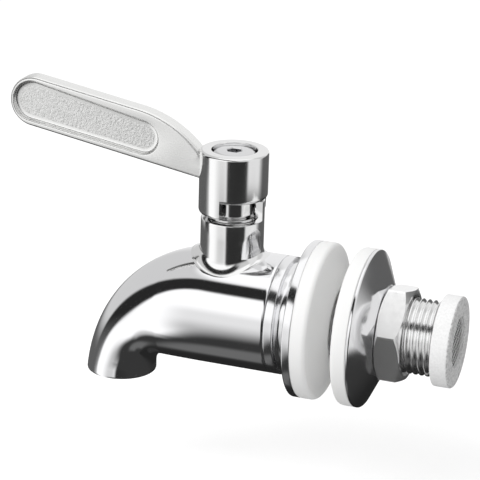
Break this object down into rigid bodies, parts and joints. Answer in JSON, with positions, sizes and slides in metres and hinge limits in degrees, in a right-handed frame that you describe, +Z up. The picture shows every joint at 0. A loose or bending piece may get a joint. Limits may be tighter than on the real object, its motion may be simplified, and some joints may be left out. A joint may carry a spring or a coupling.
{
  "type": "beverage dispenser spigot",
  "caption": "Lever-handled ball-valve spigot with a bent spout, wall flange, gaskets, cup washer, clamp nut and strainer cap.",
  "frame": {"origin": "on the shank's axis, at the rear face of the front gasket, which seats on the outside of the container's wall", "axes": "+X along the shank into the container, +Z up along the valve stem, and -X towards the spout's mouth"},
  "size_m": [0.1052, 0.035, 0.0668],
  "materials": {
    "polished_body": "polished stainless steel casting",
    "polished_tail": "turned and polished stainless steel",
    "satin_handle": "satin stainless steel casting, grainy in the lever's recesses",
    "turned_stem": "turned stainless steel",
    "screw_steel": "bright stainless screw",
    "valve_ball": "ground and polished",
    "valve_seats": "white low-friction plastic",
    "seals": "white silicone rubber",
    "gasket_silicone": "white silicone rubber, smooth and matte",
    "pressed_washer": "pressed and polished stainless sheet",
    "nut_steel": "bright stainless steel",
    "cap_plastic": "white moulded plastic, grainy on its rear face",
    "mesh_plastic": "fine woven plastic mesh"
  },
  "bodies": {
    "root": {"spout_body": "polished_body", "tail_piece": "polished_tail", "front_seat_ring": "valve_seats", "rear_seat_ring": "valve_seats", "body_o_ring": "seals", "stem_thrust_washer": "valve_seats", "stem_packing": "valve_seats", "gland_nut": "turned_stem", "front_gasket": "gasket_silicone"},
    "valve": {"handle": "satin_handle", "handle_screw": "screw_steel", "stem": "turned_stem", "lower_stem_o_ring": "seals", "upper_stem_o_ring": "seals", "ball": "valve_ball"},
    "clamp": {"rear_gasket": "gasket_silicone", "cup_washer": "pressed_washer"},
    "nut": {"clamp_nut": "nut_steel"},
    "strainer": {"strainer_cap": "cap_plastic", "strainer_mesh": "mesh_plastic"}
  },
  "joints": [
    {"name": "handle_turn", "type": "hinge", "parent": "root", "child": "valve", "pos_m": [-0.0231, 0, 0], "axis": [0, 0, 1], "range_deg": [0, 90]},
    {"name": "clamp_slide", "type": "slide", "parent": "root", "child": "clamp", "axis": [1, 0, 0], "range_m": [-0.0026, 0.006]},
    {"name": "nut_turn", "type": "hinge", "parent": "clamp", "child": "nut", "pos_m": [0.0158, 0, 0], "axis": [1, 0, 0], "range_deg": [-700, 1615]},
    {"name": "strainer_pull", "type": "slide", "parent": "root", "child": "strainer", "axis": [1, 0, 0], "range_m": [0, 0.008]}
  ],
  "couplings": [
    {"joint": "clamp_slide", "follows": "nut_turn", "m_per_rad": 0.00021279}
  ]
}
